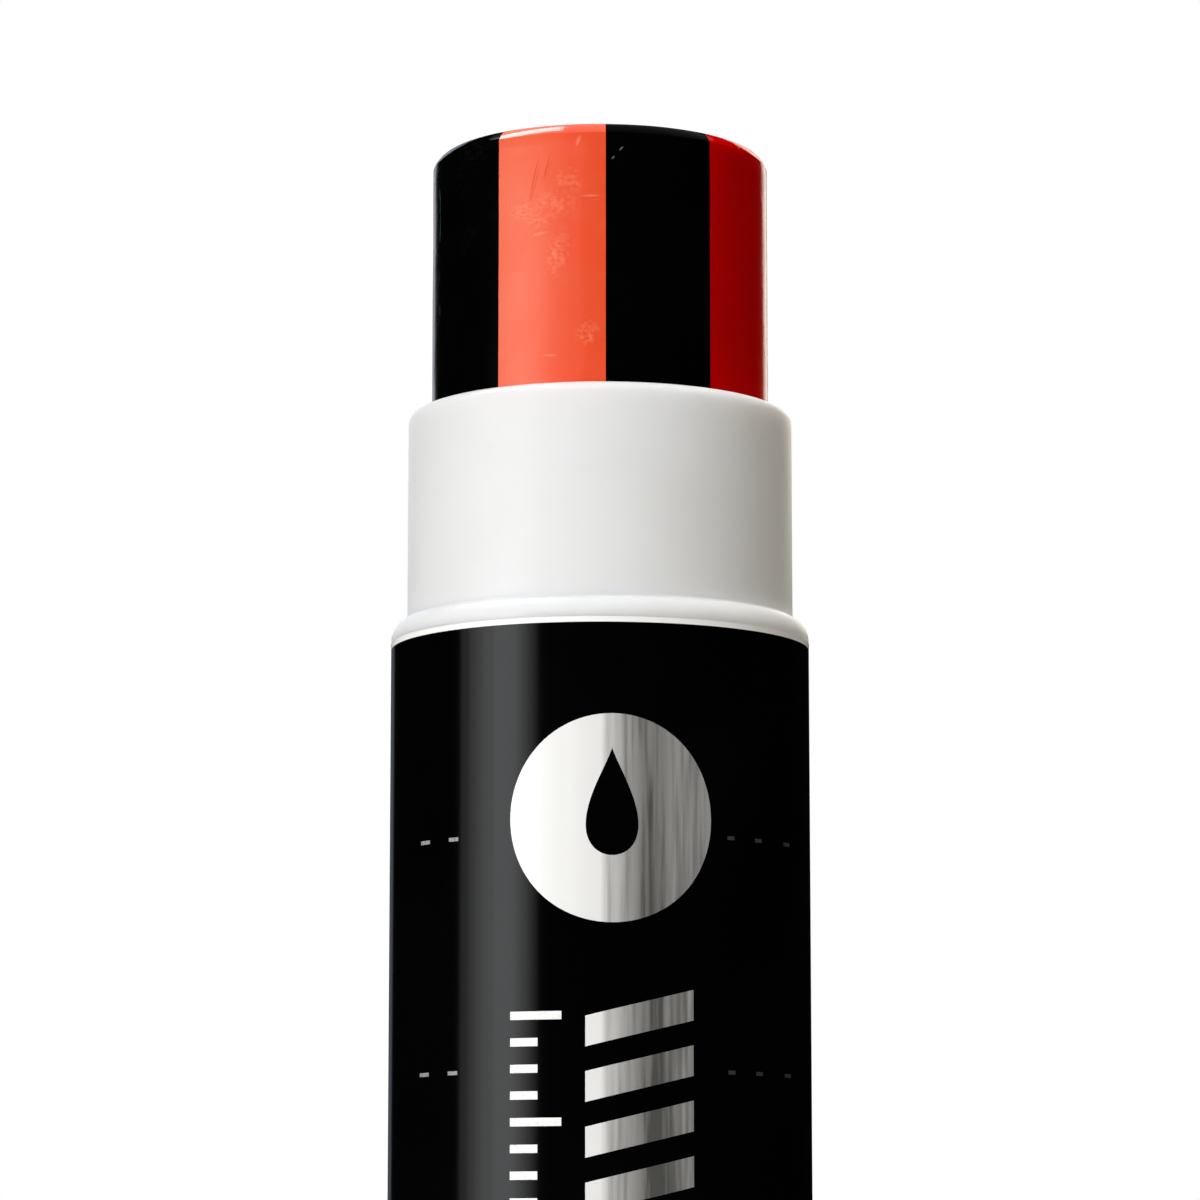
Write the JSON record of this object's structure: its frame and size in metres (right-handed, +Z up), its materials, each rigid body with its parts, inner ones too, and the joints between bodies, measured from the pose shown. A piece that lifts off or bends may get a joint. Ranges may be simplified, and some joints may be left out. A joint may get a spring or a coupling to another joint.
{
  "type": "solid paint marker",
  "caption": "Upright twist-up solid paint marker, uncapped: striped paint stick, plain neck and flange, wrapped tube and a fluted knob that winds the stick up and down.",
  "frame": {"origin": "middle of the twist knob's foot, on the surface that the marker stands on", "axes": "+Z up along the marker's axis towards the tip of the paint stick; the pictured front, between the orange and black stripes, faces -Y"},
  "size_m": [0.018, 0.018, 0.1132],
  "materials": {
    "white_plastic": "satin moulded",
    "natural_plastic": "moulded, uncoloured",
    "black_film": "gloss printed film",
    "orange_paint": "waxy, scuffed",
    "black_paint": "waxy, scuffed",
    "red_paint": "waxy, scuffed"
  },
  "bodies": {
    "tube": {"barrel": "white_plastic", "printed_film": "black_film"},
    "knob": {"twist_knob": "white_plastic", "lead_screw": "natural_plastic"},
    "stick": {"carrier": "natural_plastic", "paint_orange_1": "orange_paint", "paint_black_1": "black_paint", "paint_red_1": "red_paint", "paint_black_2": "black_paint", "paint_orange_2": "orange_paint", "paint_black_3": "black_paint", "paint_red_2": "red_paint", "paint_black_4": "black_paint"}
  },
  "joints": [
    {"name": "knob_twist", "type": "hinge", "parent": "tube", "child": "knob", "pos_m": [0, 0, 0.006], "axis": [0, 0, 1], "range_deg": [-720, 3240]},
    {"name": "stick_slide", "type": "slide", "parent": "tube", "child": "stick", "axis": [0, 0, 1], "range_m": [-0.012, 0.054]}
  ],
  "couplings": [
    {"joint": "knob_twist", "follows": "stick_slide", "rad_per_m": 1047.2}
  ]
}
